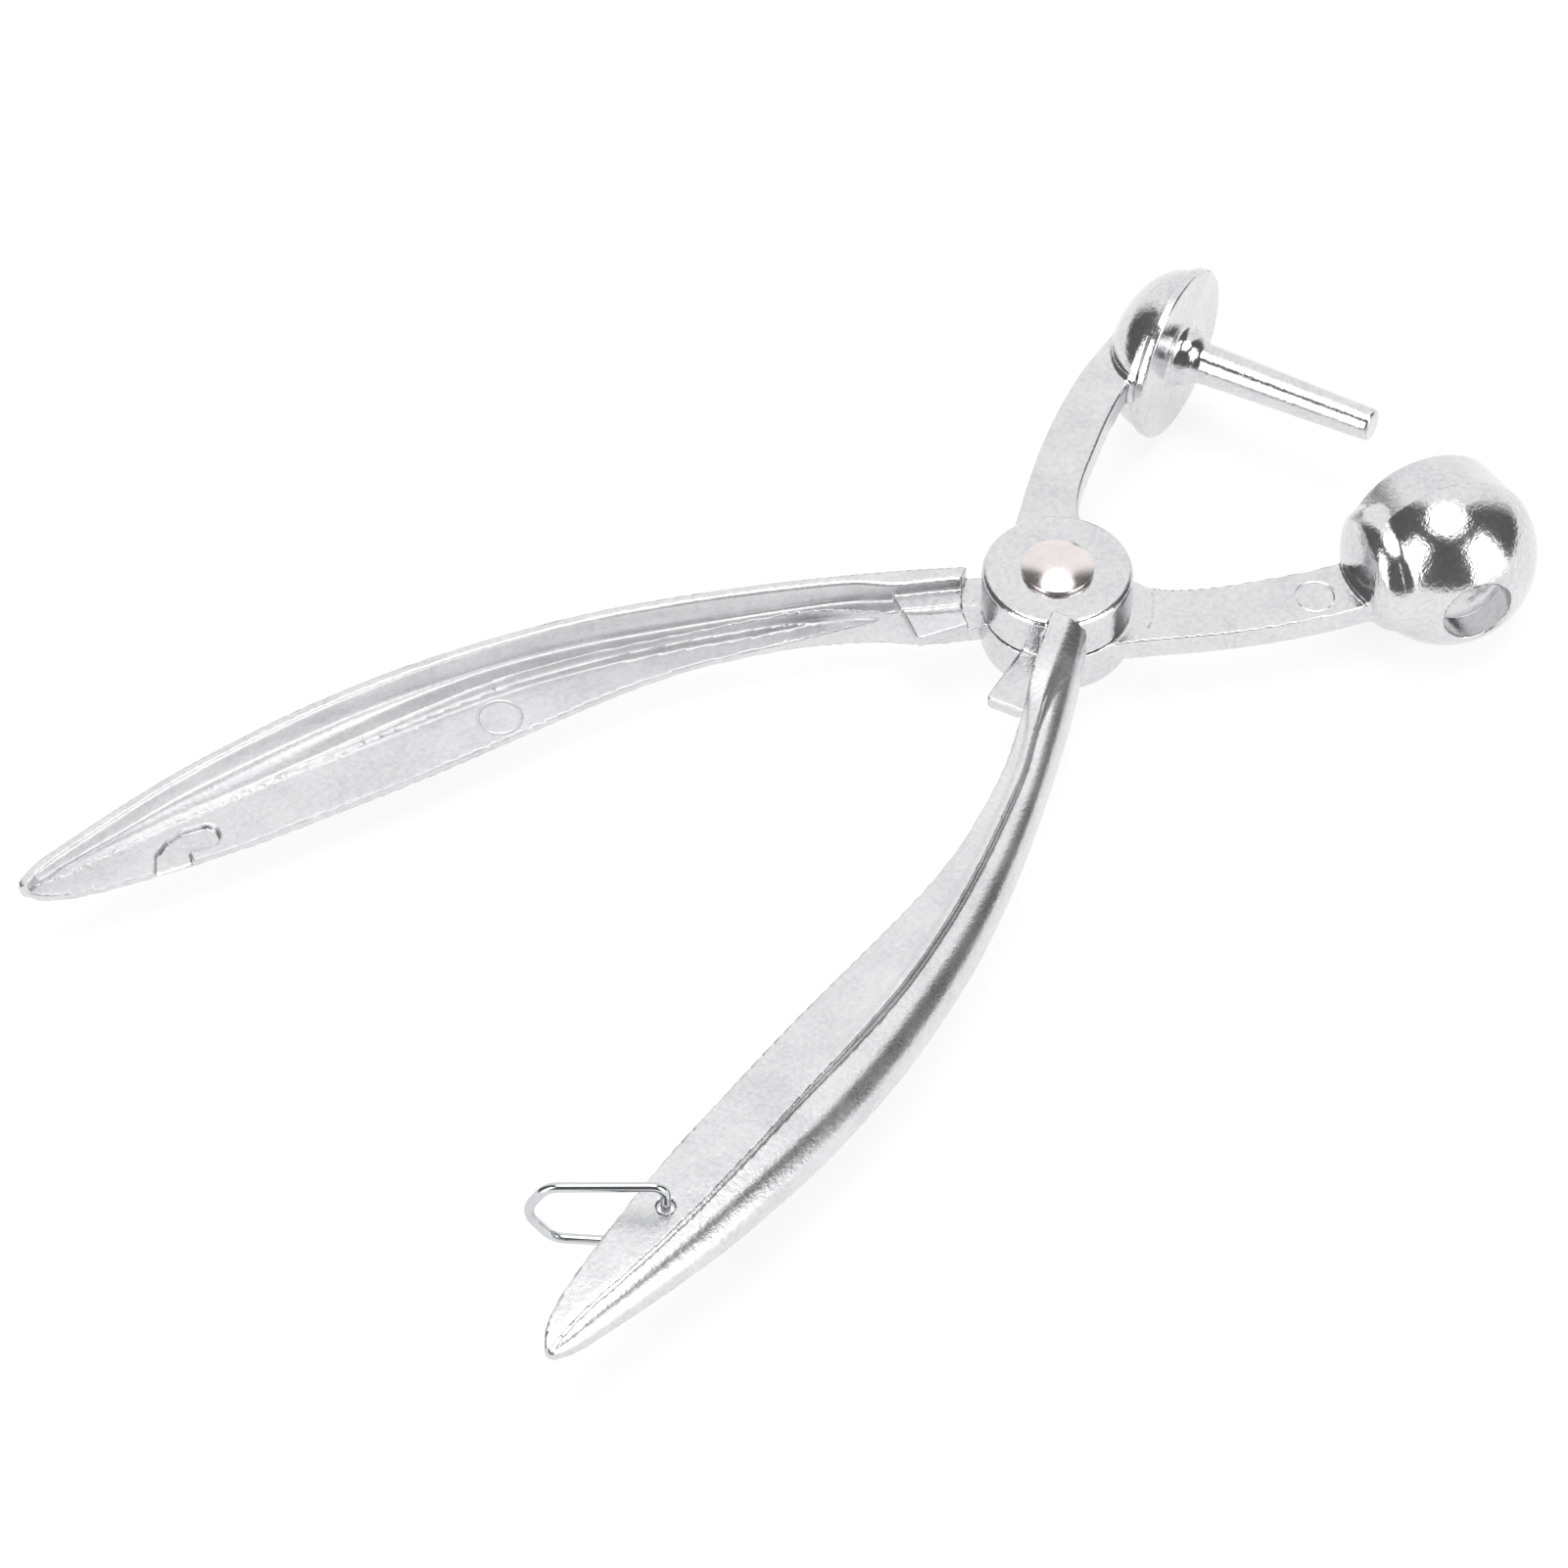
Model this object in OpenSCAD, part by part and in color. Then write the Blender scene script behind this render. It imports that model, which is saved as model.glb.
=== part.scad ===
// Olive pitter: two crossed cast levers on one rivet.
// One lever carries the punch, the other the cup. A coil spring in the hub opens
// them and a wire bail near the handle tip keeps them shut.
// The levers are the same casting blank turned over about the long axis X.
// Z is the pivot axis, and Z = 0 is the underside of the hub.

/* [Handles] */
// Angle between the two handles at rest
open_angle = 42; // [38:0.5:48]
// Angle that the levers turn through until the stops meet
close_travel = 39.5; // [34:0.5:39.5]
// Length from the pivot to a handle tip
handle_len = 119; // [99:0.5:143]
// Farthest reach of the grip from the line where the handles meet
grip_reach = 15.3; // [13:0.1:18.5]
// Height of the grip above the parting plane
grip_h = 4.7; // [4.2:0.1:5.4]
// Thickness of the flat flange of the grip
flange_t = 1.2; // [1:0.1:1.5]
// Thickness of the curved wall of the grip
wall_t = 1.5; // [1.2:0.1:2]

// Thickness of the stop webs that meet when the handles close
stop_t = 1.5; // [1.2:0.1:1.8]

/* [Hub] */
// Diameter of each hub disc
hub_d = 16.6; // [16:0.1:20]
// Height of each hub disc
hub_h = 5.5; // [5.3:0.1:6.6]
// Gap between the two hub discs
seam_gap = 0.1; // [0.06:0.01:0.2]
// Diameter of the rivet shank
rivet_d = 5; // [4.4:0.1:5.4]
// Radial running clearance of the rivet in the punch lever
rivet_clear = 0.05; // [0.03:0.01:0.09]
// Diameter of the domed rivet head
rivet_head_d = 8; // [7:0.1:9]
// Height of the domed rivet head
rivet_head_h = 1.5; // [1.2:0.1:2]

/* [Spring] */
// Wire diameter of the return spring
spring_wire = 0.9; // [0.7:0.05:1]
// Mean diameter of the spring coil
spring_d = 8.6; // [8:0.1:9]
// Number of whole turns before the levers open
spring_turns = 3; // [2:1:3]
// Rise of one turn
spring_pitch = 1.45; // [1.4:0.01:1.5]
// Radius of the pocket round the spring
pocket_r = 5.6; // [5.4:0.1:6]

/* [Arms] */
// Thickness of the flat arms
arm_t = 3; // [2.5:0.1:3.5]
// Distance from the pivot to the punch axis
punch_x = 40.4; // [38:0.1:42]
// Distance from the pivot to the cup axis
cup_x = 42.9; // [40:0.1:45]

/* [Punch] */
// Diameter of the round pressing face
disc_d = 20; // [17:0.1:22]
// Thickness of the edge of the pressing face
disc_edge = 1.2; // [0.8:0.1:2]
// Height of the dome behind the pressing face
dome_h = 6.4; // [4:0.1:8]
// Distance of the pressing face from the centre line when closed
disc_y = 4.6; // [3.5:0.1:7]
// Length of the punch from the pressing face
punch_len = 23.9; // [21:0.1:25]
// Diameter of the punch next to the boss
punch_root_d = 4.6; // [4:0.1:5.2]
// Diameter of the punch at its tip
punch_tip_d = 3.7; // [3:0.1:4]
// Diameter of the boss at the foot of the punch
boss_d = 8.6; // [7.5:0.1:11]
// Height of the boss at the foot of the punch
boss_h = 3.5; // [2.5:0.1:6]

/* [Cup] */
// Outside diameter of the ball
ball_d = 20.4; // [19:0.1:22]
// Distance of the ball centre from the centre line when closed
ball_y = 7.9; // [7:0.1:10]
// Inside diameter of the cup
cup_bore_d = 14.4; // [13:0.1:15]
// Diameter of the hole where the stone leaves
stone_hole_d = 8; // [7.6:0.1:9]
// Distance from the ball centre to the rim of the cup
rim_reach = 6.8; // [6:0.1:7.5]
// Outside diameter of the rim of the cup
rim_d = 17.4; // [16.6:0.1:18]

/* [Bail] */
// Wire diameter of the bail
bail_wire = 1.1; // [1:0.05:1.3]
// Reach of the nose of the bail from its hole
bail_reach = 14.8; // [14.4:0.1:15.2]
// Angle between the bail and the handle at rest
bail_angle = 66; // [60:1:80]
// Rise of the resting bail above the place where it latches
bail_rise = 2.5; // [2.4:0.1:2.8]
// Distance of the bail hole from the handle tip
hole_from_tip = 21.1; // [20.6:0.1:22.6]
// Distance of the bail hole from the line where the handles meet
hole_in = 3.6; // [3.4:0.1:3.8]

/* [Hidden] */
$fn = 64;
half_open = open_angle / 2;
stop_slope = tan((open_angle - close_travel) / 2);
hub_r = hub_d / 2;
half_gap = seam_gap / 2;
relief_r = hub_r + 2.2;
stop_end = hub_r + 7.7;
hole_s = handle_len - hole_from_tip;
spring_sweep = 360 * spring_turns - open_angle;
spring_rise = spring_sweep / 360 * spring_pitch;
pocket_h = spring_rise / 2 + spring_wire / 2 + 0.25;
reach_k = grip_reach / 15.3;
length_k = (handle_len - hub_r) / 111.2;
height_k = grip_h / 4.7;

// Edges of the grip seen from above: [distance from the pivot, offset outwards],
// for a handle 119.5 long that reaches out 15.9 from the line where the handles meet.
EDGE_IN = [[6, 2.4], [14, 4], [20, 5.7], [27, 7.3], [35, 8.1], [42, 8.2], [50, 7.4], [60, 5.7],
    [70, 4], [80, 2.5], [90, 1], [100, -0.1], [108, -0.6], [113, -0.8], [117, -0.4], [119.5, 0.7]];
EDGE_RIDGE = [[6, 4.4], [14, 6.1], [20, 7.7], [27, 9.5], [35, 10.7], [42, 11.5], [50, 12], [60, 11.9],
    [70, 10.8], [80, 9.3], [90, 7.8], [100, 5.9], [108, 3.9], [114, 2.2], [119.5, 1.1]];
EDGE_OUT = [[6, 6.6], [14, 8.9], [20, 10.4], [27, 12], [35, 13.6], [42, 14.7], [50, 15.6], [60, 15.9],
    [70, 15.5], [80, 14.3], [90, 12.3], [100, 9.6], [108, 6.8], [113, 4.9], [117, 3.2], [119.5, 1.6]];
// Heights along the grip: [distance from the pivot, height above the parting plane].
TOP = [[6, 5.4], [14, 5.2], [20, 5], [30, 4.7], [70, 4.7], [90, 4.3], [100, 3.9], [108, 3.5],
    [114, 3], [117.5, 2.5], [119.5, 1.9]];
RIM = [[6, -1.9], [20, -1.9], [40, -1.6], [60, -1.2], [80, -0.8], [100, -0.3], [110, 0],
    [117, 0.2], [119.5, 0.6]];
CEILING = [[6, -0.5], [15.4, -0.4], [17.5, 0.8], [22, 2.3], [28, 3.3], [36, 3.9], [119.5, 3.9]];
// Raised line along the ceiling of the channel, seen from above as the edges are.
EDGE_CREST = [[6, 1.6], [11, 2.2], [14, 2.8], [20, 4.4], [25, 7], [30, 8.6], [35, 9.6], [40, 10.3],
    [50, 10.9], [60, 10.8], [70, 9.8], [80, 8.1], [90, 6.6], [100, 4.3], [105, 2.4], [110, 0.7], [119.5, -2]];
// Drop of the step outside the ridge, and how far the flange lies below the ridge.
STEP = [[6, 0.1], [13, 0.3], [20, 0.9], [28, 1.2], [60, 1.2], [74, 0.9], [86, 0.45], [100, 0.35],
    [119.5, 0.2]];
DIP = [[6, 0.22], [50, 0.22], [62, 0.18], [78, 0], [119.5, 0]];
// Wall of the channel as a share of wall_t: it thickens beside the hub.
SIDE_WALL = [[6, 1.45], [22, 1.45], [25, 1.3], [28, 1], [119.5, 1]];
// Flange as a share of flange_t, and drop of the raised line: both fade where the bail passes.
FLANGE = [[6, 1], [86, 1], [98, 0.8], [119.5, 0.8]];
CREST = [[6, 0.35], [84, 0.35], [94, 0], [119.5, 0]];
// Edges of the arms seen from above: [distance from the pivot, offset].
ARM_OUT = [[1, 7.2], [6, 8.2], [12, 9.7], [16, 10.6], [20, 11.3], [24, 11.8], [28, 12.1], [32, 12.1],
    [40, 11.4]];
PUNCH_ARM_IN = [[1, -0.1], [7, -0.6], [8.6, 0.8], [10.3, 2.4], [12.5, 3.6], [15.7, 4.6], [20, 5.4],
    [25, 6.2], [30, 6.6], [40, 6.6]];
CUP_ARM_IN = [[1, -0.3], [7, -2.4], [9, -0.6], [10.6, 1.3], [13, 2.6], [17, 3.7], [21.5, 4.4], [28, 5.1],
    [40, 5.6]];

// Smooth curve through a table of [position, value].
function piece_of(t, s, i = 0) = (i >= len(t) - 2 || s < t[i + 1][0]) ? i : piece_of(t, s, i + 1);
function slope_at(t, i) =
    let(a = max(i - 1, 0), b = min(i + 1, len(t) - 1))
    (t[b][1] - t[a][1]) / (t[b][0] - t[a][0]);
function curve(t, s) =
    let(i = piece_of(t, s), a = t[i], b = t[i + 1], h = b[0] - a[0], u = (s - a[0]) / h)
    a[1] * (2 * u ^ 3 - 3 * u ^ 2 + 1) + slope_at(t, i) * h * (u ^ 3 - 2 * u ^ 2 + u)
    + b[1] * (3 * u ^ 2 - 2 * u ^ 3) + slope_at(t, i + 1) * h * (u ^ 3 - u ^ 2);

// Position in the tables of a place on a handle of any length.
function table_s(s) = hub_r + (s - hub_r) / length_k - (hub_r - 8.3);
function edge(t, s) = curve(t, table_s(s)) * reach_k;
function height(t, s) = curve(t, table_s(s)) * height_k;

// Cross-section of the grip, [offset outwards, height]: flat flange, a band that rises to the
// ridge, a step down outside it, and the curved outer wall.
function outer_section(s) =
    let(w0 = edge(EDGE_IN, s), w1 = edge(EDGE_RIDGE, s), w2 = edge(EDGE_OUT, s),
        top = height(TOP, s), low = height(RIM, s), flat = top - height(DIP, s),
        foot = top - height(STEP, s), w3 = w1 + 0.12 * (w2 - w1),
        band = 1.15 + 1.6 * min(1, max(0, (24 - table_s(s)) / 12)),
        wall_top = min(3.4, top - low - 0.4) - (top - foot))
    concat([[w0 - 0.5, low], [w0, flat - 0.2], [w0 + 0.15, flat],
            [max(w0 + 0.3, w1 - band), flat], [w1 - 0.1, top], [w1, top - 0.05]],
        [for (a = [0:15:90]) [w3 + (w2 - w3) * sin(a), foot - wall_top * (1 - cos(a))]],
        [[w2 - (low < 0 ? 0 : 1.2), low]]);

// Cross-section of the hollow of the grip, open below. A raised line runs along its ceiling.
function hollow_section(s, inner) =
    let(w2 = edge(EDGE_OUT, s) - wall_t * curve(SIDE_WALL, table_s(s)),
        flange = flange_t * curve(FLANGE, table_s(s)),
        roof = min(height(CEILING, s), height(TOP, s) - height(DIP, s) - flange),
        shelf = roof - 0.95 * height(STEP, s), crest = edge(EDGE_CREST, s),
        reach = min(1.5, 0.6 * (w2 - crest)), w1 = max(crest + reach + 0.05, w2 - 1.2),
        fall = min(1.2, shelf + 2.6))
    concat([[inner, -4], [inner, roof], [max(inner + 0.05, crest - 1.5), roof],
            [crest, shelf - height(CREST, s)], [crest + reach, shelf]],
        [for (a = [0:18:90]) [w1 + (w2 - w1) * sin(a), shelf - fall * (1 - cos(a))]], [[w2, -4]]);

// Solid through a row of sections with the same number of points.
module loft(stations, sections) {
    n = len(sections[0]);
    m = len(stations);
    points = [for (i = [0:m - 1]) for (p = sections[i]) [-stations[i], -p[0], p[1]]];
    sides = [for (i = [0:m - 2]) for (j = [0:n - 1]) let(k = (j + 1) % n)
        each [[i * n + j, i * n + k, (i + 1) * n + k], [i * n + j, (i + 1) * n + k, (i + 1) * n + j]]];
    ends = [[for (j = [n - 1:-1:0]) j], [for (j = [0:n - 1]) (m - 1) * n + j]];
    polyhedron(points, concat(sides, ends), convexity = 6);
}

function steps(a, b, n) = [for (i = [0:n]) a + (b - a) * i / n];

// Grip with its neck. Past the parting plane it ends in a wall round the other hub disc.
module grip_blank() {
    near = steps(hub_r - 2.3, stop_end, 10);
    far = steps(stop_end + 2.5, handle_len - 5, 35);
    stations = concat(near, far, [for (a = [15:15:90]) handle_len - 5 + 5 * sin(a)]);
    difference() {
        loft(stations, [for (s = stations) outer_section(s)]);
        translate([0, 0, -4])
            cylinder(r = relief_r, h = 4 + half_gap, $fn = 96);
    }
}

// Web that meets the same web of the other lever on the line where the handles close.
module stop_web() {
    start = hub_r + 0.9;
    top = stop_t / 2 - 0.15;
    difference() {
        translate([0, 0, top - stop_t])
            linear_extrude(stop_t)
                polygon([[-start + 2, -0.02 + (start - 2) * stop_slope],
                    [-stop_end, -0.02 + stop_end * stop_slope],
                    [-stop_end, -edge(EDGE_IN, stop_end) - 1], [-start + 2, -edge(EDGE_IN, start) - 1]]);
        translate([0, 0, -4])
            cylinder(r = start, h = 4 + half_gap, $fn = 96);
    }
}

module grip_hollow() {
    near = steps(relief_r + 1.2, stop_end + 1, 5);
    far = steps(stop_end + 0.05, handle_len - 5, 40);
    loft(near, [for (s = near) hollow_section(s, 1.2)]);
    loft(far, [for (s = far) hollow_section(s, -4)]);
}

// Flat arm with bevelled top edges that runs from the hub to the punch or the cup.
module arm(end_x, inner_edge) {
    bevel = 0.35;
    stations = concat([1, 3.5, 6], steps(7, end_x, 18));
    loft([for (x = stations) -x], [for (x = stations)
        let(a = -curve(ARM_OUT, x), b = -curve(inner_edge, x))
        [[b, half_gap], [b, arm_t - bevel], [b - bevel, arm_t], [a + bevel, arm_t], [a, arm_t - bevel],
            [a, half_gap]]]);
}

module hub_disc() {
    edge_r = 0.6;
    translate([0, 0, half_gap])
        rotate_extrude($fn = 96)
            polygon(concat([[0, 0], [hub_r, 0]],
                [for (a = [0:30:90])
                    [hub_r - edge_r + edge_r * cos(a), hub_h - half_gap - edge_r + edge_r * sin(a)]],
                [[0, hub_h - half_gap]]));
}

// Straight slot for one leg of the spring, from its tangent point outwards.
module leg_slot() {
    w = spring_wire + 0.3;
    translate([spring_d / 2 - w / 2, -6.2, -1])
        cube([w, 6.2, 1 + spring_rise / 2 + w / 2]);
}

// The casting that both levers share, with its flat side on the parting plane.
module lever_blank(end_x, inner_edge, bore_d) {
    difference() {
        union() {
            hub_disc();
            grip_blank();
            stop_web();
            arm(end_x, inner_edge);
        }
        grip_hollow();
        translate([0, 0, -1])
            cylinder(d = bore_d, h = hub_h + 2);
        translate([0, 0, -1])
            cylinder(r = pocket_r, h = 1 + pocket_h);
        leg_slot();
    }
}

// Pressing face with its dome, boss and punch, turned about the punch axis.
module punch_head() {
    r = disc_d / 2;
    dome_r = r - 0.5;
    boss_in = (boss_d - punch_root_d) / 2 - 0.1;
    profile = concat([[0, -punch_len], [punch_tip_d / 2 - 0.4, -punch_len],
        [punch_tip_d / 2, -punch_len + 0.4], [punch_root_d / 2, -boss_h - 0.6]],
        [for (a = [90:-15:0]) [boss_d / 2 - boss_in * sin(a), -boss_h * (1 - cos(a))]],
        [[r, 0], [r, disc_edge]],
        [for (a = [0:10:90]) [dome_r * cos(a), disc_edge + dome_h * sin(a)]]);
    translate([punch_x, disc_y, 0])
        rotate([-90, 0, 0])
            rotate_extrude($fn = 96)
                polygon(profile);
}

module plunger_lever() {
    color([0.74, 0.74, 0.75])
        translate([0, 0, hub_h])
            rotate([0, 0, half_open])
                difference() {
                    union() {
                        lever_blank(punch_x - 3.6, PUNCH_ARM_IN, rivet_d + 2 * rivet_clear);
                        punch_head();
                    }
                    translate([-hole_s, -hole_in, 0])
                        cylinder(d = bail_wire + 0.8, h = 8);
                }
}

// Outside of the cup about its axis: ball, then a straight taper to the rim.
module cup_outside() {
    rotate([90, 0, 0])
        rotate_extrude($fn = 96)
            polygon(concat([[0, rim_reach], [rim_d / 2, rim_reach]],
                [for (a = [0:6:90]) [ball_d / 2 * cos(a), -ball_d / 2 * sin(a)]]));
}

module cup_inside() {
    rotate([90, 0, 0])
        rotate_extrude($fn = 96)
            polygon(concat([[0, rim_reach + 1], [cup_bore_d / 2 + 0.2, rim_reach + 1], [cup_bore_d / 2, 0]],
                [for (a = [10:10:90]) [cup_bore_d / 2 * cos(a), -cup_bore_d / 2 * sin(a)]]));
    rotate([-90, 0, 0])
        cylinder(d = stone_hole_d, h = ball_d);
}

// Swelling where the arm runs into the ball.
module cup_collar() {
    collar_r = 7.4;
    intersection() {
        sphere(d = ball_d + 2.8, $fn = 96);
        rotate([0, -90, 0])
            cylinder(r = collar_r, h = ball_d);
        translate([-ball_d, -ball_d, -ball_d])
            cube([2 * ball_d, 2 * ball_d, ball_d + arm_t]);
    }
}

// Hooked notch in the flange that catches the bail, as seen on the closed handle.
module bail_notch() {
    pocket = 1.5;
    lip_r = 0.45;
    translate([-hole_s - 0.5, -2.9, 0])
        linear_extrude(6)
            difference() {
                union() {
                    translate([1, 0])
                        circle(r = pocket);
                    polygon([[1, -pocket], [-1.3, -1.4], [-3.2, -0.5], [-5, 1], [-6.2, 4.6], [-1.6, 4.6],
                        [-1.5, 1.7], [-0.8, pocket], [1, pocket]]);
                }
                translate([-0.95, 1.9])
                    circle(r = lip_r);
            }
}

module cup_lever() {
    color([0.76, 0.76, 0.77])
        translate([0, 0, hub_h])
            rotate([0, 0, -half_open])
                rotate([180, 0, 0])
                    difference() {
                        union() {
                            difference() {
                                union() {
                                    lever_blank(cup_x - 4, CUP_ARM_IN, rivet_d);
                                    translate([cup_x, ball_y, 0])
                                        cup_collar();
                                }
                                bail_notch();
                            }
                            translate([cup_x, ball_y, 0])
                                cup_outside();
                        }
                        translate([cup_x, ball_y, 0])
                            cup_inside();
                        translate([0, 0, hub_h - 1.2])
                            cylinder(d1 = rivet_d, d2 = rivet_d + 2.4, h = 1.2001);
                    }
}

module pivot_rivet() {
    cap_r = (rivet_head_d ^ 2 / 4 + rivet_head_h ^ 2) / (2 * rivet_head_h);
    cap_a = asin(rivet_head_d / 2 / cap_r);
    head_z = 2 * hub_h + 0.05;
    color([0.8, 0.77, 0.76])
        rotate_extrude($fn = 96)
            polygon(concat([[0, 0], [rivet_d / 2 + 1.2, 0], [rivet_d / 2, 1.2], [rivet_d / 2, head_z],
                [rivet_head_d / 2, head_z]],
                [for (i = [0:8]) let(a = cap_a * (1 - i / 8))
                    [cap_r * sin(a), head_z + 0.2 + cap_r * cos(a) - cap_r * cos(cap_a)]]));
}

// Centre line of the spring: lower leg, turns, upper leg. It winds tighter as the levers close.
function spring_centre() =
    let(r = spring_d / 2, per = 24, n = round(spring_sweep / 360 * per), leg = 5.6)
    concat(
        [for (u = [leg, leg - spring_wire * 1.2, spring_wire * 1.2])
            [r * cos(-half_open) - u * sin(-half_open), r * sin(-half_open) + u * cos(-half_open),
                -spring_rise / 2]],
        [for (i = [0:n]) let(a = -half_open - spring_sweep * i / n)
            [r * cos(a), r * sin(a), spring_rise * (i / n - 0.5)]],
        [for (u = [spring_wire * 1.2, leg - spring_wire * 1.2, leg])
            [r * cos(half_open) + u * sin(half_open), r * sin(half_open) - u * cos(half_open),
                spring_rise / 2]]);

// Round tube along a line of points, with its rings kept upright.
module tube_along(p, d, sides = 6) {
    n = len(p);
    heading = [for (i = [0:n - 1]) unit(p[min(i + 1, n - 1)] - p[max(i - 1, 0)])];
    rings = [for (i = [0:n - 1]) let(side = unit(cross([0, 0, 1], heading[i])), up = cross(heading[i], side))
        for (k = [0:sides - 1]) p[i] + d / 2 * (cos(360 * k / sides) * side + sin(360 * k / sides) * up)];
    skin = [for (i = [0:n - 2]) for (k = [0:sides - 1]) let(m = (k + 1) % sides)
        each [[i * sides + k, (i + 1) * sides + m, i * sides + m],
            [i * sides + k, (i + 1) * sides + k, (i + 1) * sides + m]]];
    ends = [[for (k = [0:sides - 1]) k], [for (k = [sides - 1:-1:0]) (n - 1) * sides + k]];
    polyhedron(rings, concat(skin, ends), convexity = 8);
}
module torsion_spring() {
    line = spring_centre();
    gaps = [for (i = [0:len(line) - 1]) for (j = [i + 14:len(line) - 1]) norm(line[i] - line[j])];
    echo(spring_gap = min(gaps) - spring_wire);
    color([0.6, 0.61, 0.63])
        translate([0, 0, hub_h])
            tube_along(line, spring_wire);
}

// Points along a closed flat loop with rounded corners: [reach, height, bend radius] each.
function bent_loop(corners, per = 8) =
    let(n = len(corners))
    [for (i = [0:n - 1])
        let(a = corners[(i + n - 1) % n], b = corners[i], c = corners[(i + 1) % n],
            u = unit([b[0] - a[0], 0, b[1] - a[1]]), v = unit([c[0] - b[0], 0, c[1] - b[1]]),
            turn = acos(u * v), start = [b[0], 0, b[1]] - u * b[2] * tan(turn / 2),
            inward = unit(v - u * (u * v)))
        for (k = [0:per]) let(q = turn * k / per)
            start + b[2] * (sin(q) * u + (1 - cos(q)) * inward)];

// Round wire along a closed flat loop of points.
module wire_ring(p, d, sides = 12) {
    n = len(p);
    heading = [for (i = [0:n - 1]) unit(p[(i + 1) % n] - p[(i + n - 1) % n])];
    rings = [for (i = [0:n - 1]) let(side = cross([0, 1, 0], heading[i]))
        for (k = [0:sides - 1])
            p[i] + d / 2 * (cos(360 * k / sides) * side + sin(360 * k / sides) * [0, 1, 0])];
    skin = [for (i = [0:n - 1]) for (k = [0:sides - 1]) let(m = (k + 1) % sides, j = (i + 1) % n)
        each [[i * sides + k, j * sides + m, i * sides + m],
            [i * sides + k, j * sides + k, j * sides + m]]];
    polyhedron(rings, skin, convexity = 6);
}
function unit(v) = v / norm(v);

module latch_bail() {
    grip_top = height(TOP, hole_s);
    lift = grip_top + bail_wire / 2 + 0.15 + bail_rise;
    drop = -grip_top - bail_wire / 2 - 0.1 + bail_rise;
    corners = [[0, grip_top - flange_t - 1.4, 1.2], [0, lift, 1.3], [bail_reach - 2.4, lift - 1, 2.6],
        [bail_reach, bail_rise - 0.4, 3], [bail_reach - 3, drop + 0.1, 2.4], [6.4, drop, 2.5]];
    color([0.83, 0.84, 0.86])
        translate([0, 0, hub_h])
            rotate([0, 0, half_open])
                translate([-hole_s, -hole_in, 0])
                    rotate([0, 0, 180 - bail_angle])
                        wire_ring(bent_loop(corners), bail_wire);
}

plunger_lever();
cup_lever();
pivot_rivet();
torsion_spring();
latch_bail();
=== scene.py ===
"""Looks of a hand-held olive pitter: two cast levers, a rivet, a spring and a wire bail.

Shapes are worked out in millimetres and made in metres. Each lever is a field that
gives the distance to its surface, and a fine net of quads is laid on that surface.
Both levers come from one blank. In the blank's own frame the handle runs along -X, the
jaw along +X, and Z = 0 is the parting plane between the two levers. Tables along the
handle hold (distance from the pivot, value), and w is the offset outwards, along -Y.
"""

import math

import bpy
import numpy as np
from mathutils import Matrix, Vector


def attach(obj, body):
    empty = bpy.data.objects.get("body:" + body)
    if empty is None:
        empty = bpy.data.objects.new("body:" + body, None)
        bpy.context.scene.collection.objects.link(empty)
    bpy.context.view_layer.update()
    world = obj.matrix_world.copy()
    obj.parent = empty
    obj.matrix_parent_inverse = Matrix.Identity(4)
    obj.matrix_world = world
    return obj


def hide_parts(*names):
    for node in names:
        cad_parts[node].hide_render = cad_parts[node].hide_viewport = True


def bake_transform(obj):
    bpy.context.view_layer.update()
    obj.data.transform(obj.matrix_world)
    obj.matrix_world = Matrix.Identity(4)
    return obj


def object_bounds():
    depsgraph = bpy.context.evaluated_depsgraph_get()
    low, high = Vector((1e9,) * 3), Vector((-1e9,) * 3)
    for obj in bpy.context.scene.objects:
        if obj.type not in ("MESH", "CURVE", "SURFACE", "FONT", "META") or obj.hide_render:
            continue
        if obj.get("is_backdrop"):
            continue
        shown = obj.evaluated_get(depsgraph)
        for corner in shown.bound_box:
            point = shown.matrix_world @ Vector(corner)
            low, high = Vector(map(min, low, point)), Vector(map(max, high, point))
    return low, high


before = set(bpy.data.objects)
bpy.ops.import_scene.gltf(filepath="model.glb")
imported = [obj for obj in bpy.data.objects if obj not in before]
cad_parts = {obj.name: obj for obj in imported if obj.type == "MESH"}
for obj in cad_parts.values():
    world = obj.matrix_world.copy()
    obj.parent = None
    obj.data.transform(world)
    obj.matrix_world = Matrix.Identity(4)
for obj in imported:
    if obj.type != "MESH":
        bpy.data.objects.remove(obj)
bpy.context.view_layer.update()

MM = 0.001

# Angles in degrees: between the handles at rest, and how far the levers turn to close.
OPEN, CLOSE = 42.0, 39.5

# Hub, with the room that it leaves for the spring and for the other lever's hub.
HUB_R, HUB_H = 8.3, 5.5
GAP = 0.05
RELIEF_R = HUB_R + 2.2
POCKET_R, POCKET_TOP = 5.6, 2.83
PUNCH_BORE_R, CUP_BORE_R = 2.55, 2.5
SINK_Z = 4.3

# Handle: length, thickness of the flange, end of the stop web, and the hole for the bail.
LENGTH = 119.0
FLANGE = 1.2
STOP_END = HUB_R + 8.2
HOLE, HOLE_R = (97.9, 3.6), 0.95

# Arms, and where the jaws stand on them.
ARM_T = 3.0
PUNCH_X, CUP_X = 40.4, 42.9

# Pressing head: disc, dome behind it, boss and punch.
DISC_R, DISC_EDGE, DISC_Y = 10, 1.2, 4.6
DOME_R, DOME_H = 9.5, 6.4
BOSS_R, BOSS_TOP_R = 3.5, 2.9
PIN_R, PIN_TIP_R, PIN_LENGTH = 2.3, 1.85, 23.9

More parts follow.
